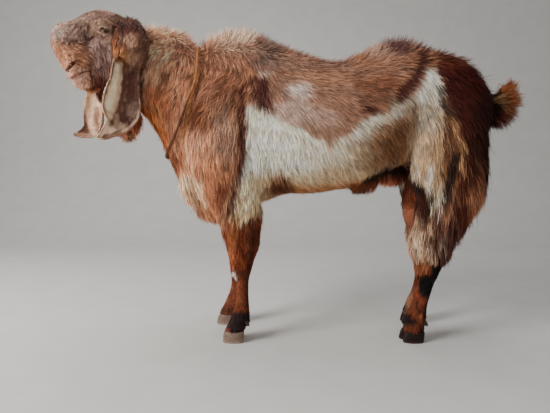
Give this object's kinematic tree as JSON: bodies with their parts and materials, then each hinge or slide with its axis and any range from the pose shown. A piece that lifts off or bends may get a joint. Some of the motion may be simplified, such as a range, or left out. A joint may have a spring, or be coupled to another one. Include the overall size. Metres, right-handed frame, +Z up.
{
  "type": "billy goat",
  "caption": "Life-size still model of a standing, polled billy goat with a Roman nose, long folded hanging ears, shaggy russet coat with pale flank patch, and a thin neck cord.",
  "frame": {"origin": "middle of the bounding box's bottom face, on the floor between the feet", "axes": "+Z up, the goat's body faces -X with its tail towards +X, and its left side, to which the head is turned, faces -Y"},
  "size_m": [1.3134, 0.4197, 0.9058],
  "materials": {
    "coat": "long hair coat over skin, russet with cream flank and dark maroon markings",
    "ear": "short-haired pale ear skin",
    "eye": "wet, glossy amber eye with a dark bar pupil",
    "horn": "dull grey hoof horn",
    "bare_skin": "soft thinly haired skin",
    "cord": "worn twisted dark cord"
  },
  "bodies": {
    "root": {"beard": "coat", "claw_fore_left_inner": "horn", "claw_fore_left_outer": "horn", "claw_fore_right_inner": "horn", "claw_fore_right_outer": "horn", "claw_hind_left_inner": "horn", "claw_hind_left_outer": "horn", "claw_hind_right_inner": "horn", "claw_hind_right_outer": "horn", "dewclaw_fore_left_inner": "horn", "dewclaw_fore_left_outer": "horn", "dewclaw_fore_right_inner": "horn", "dewclaw_fore_right_outer": "horn", "dewclaw_hind_left_inner": "horn", "dewclaw_hind_left_outer": "horn", "dewclaw_hind_right_inner": "horn", "dewclaw_hind_right_outer": "horn", "ear_left": "ear", "ear_right": "ear", "eye_left": "eye", "eye_right": "eye", "foreleg_left_lower": "coat", "foreleg_left_upper": "coat", "foreleg_right_lower": "coat", "foreleg_right_upper": "coat", "head": "coat", "hindleg_left_lower": "coat", "hindleg_left_upper": "coat", "hindleg_right_lower": "coat", "hindleg_right_upper": "coat", "neck": "coat", "neck_cord": "cord", "scrotum": "bare_skin", "tail": "coat", "trunk": "coat"}
  },
  "joints": []
}
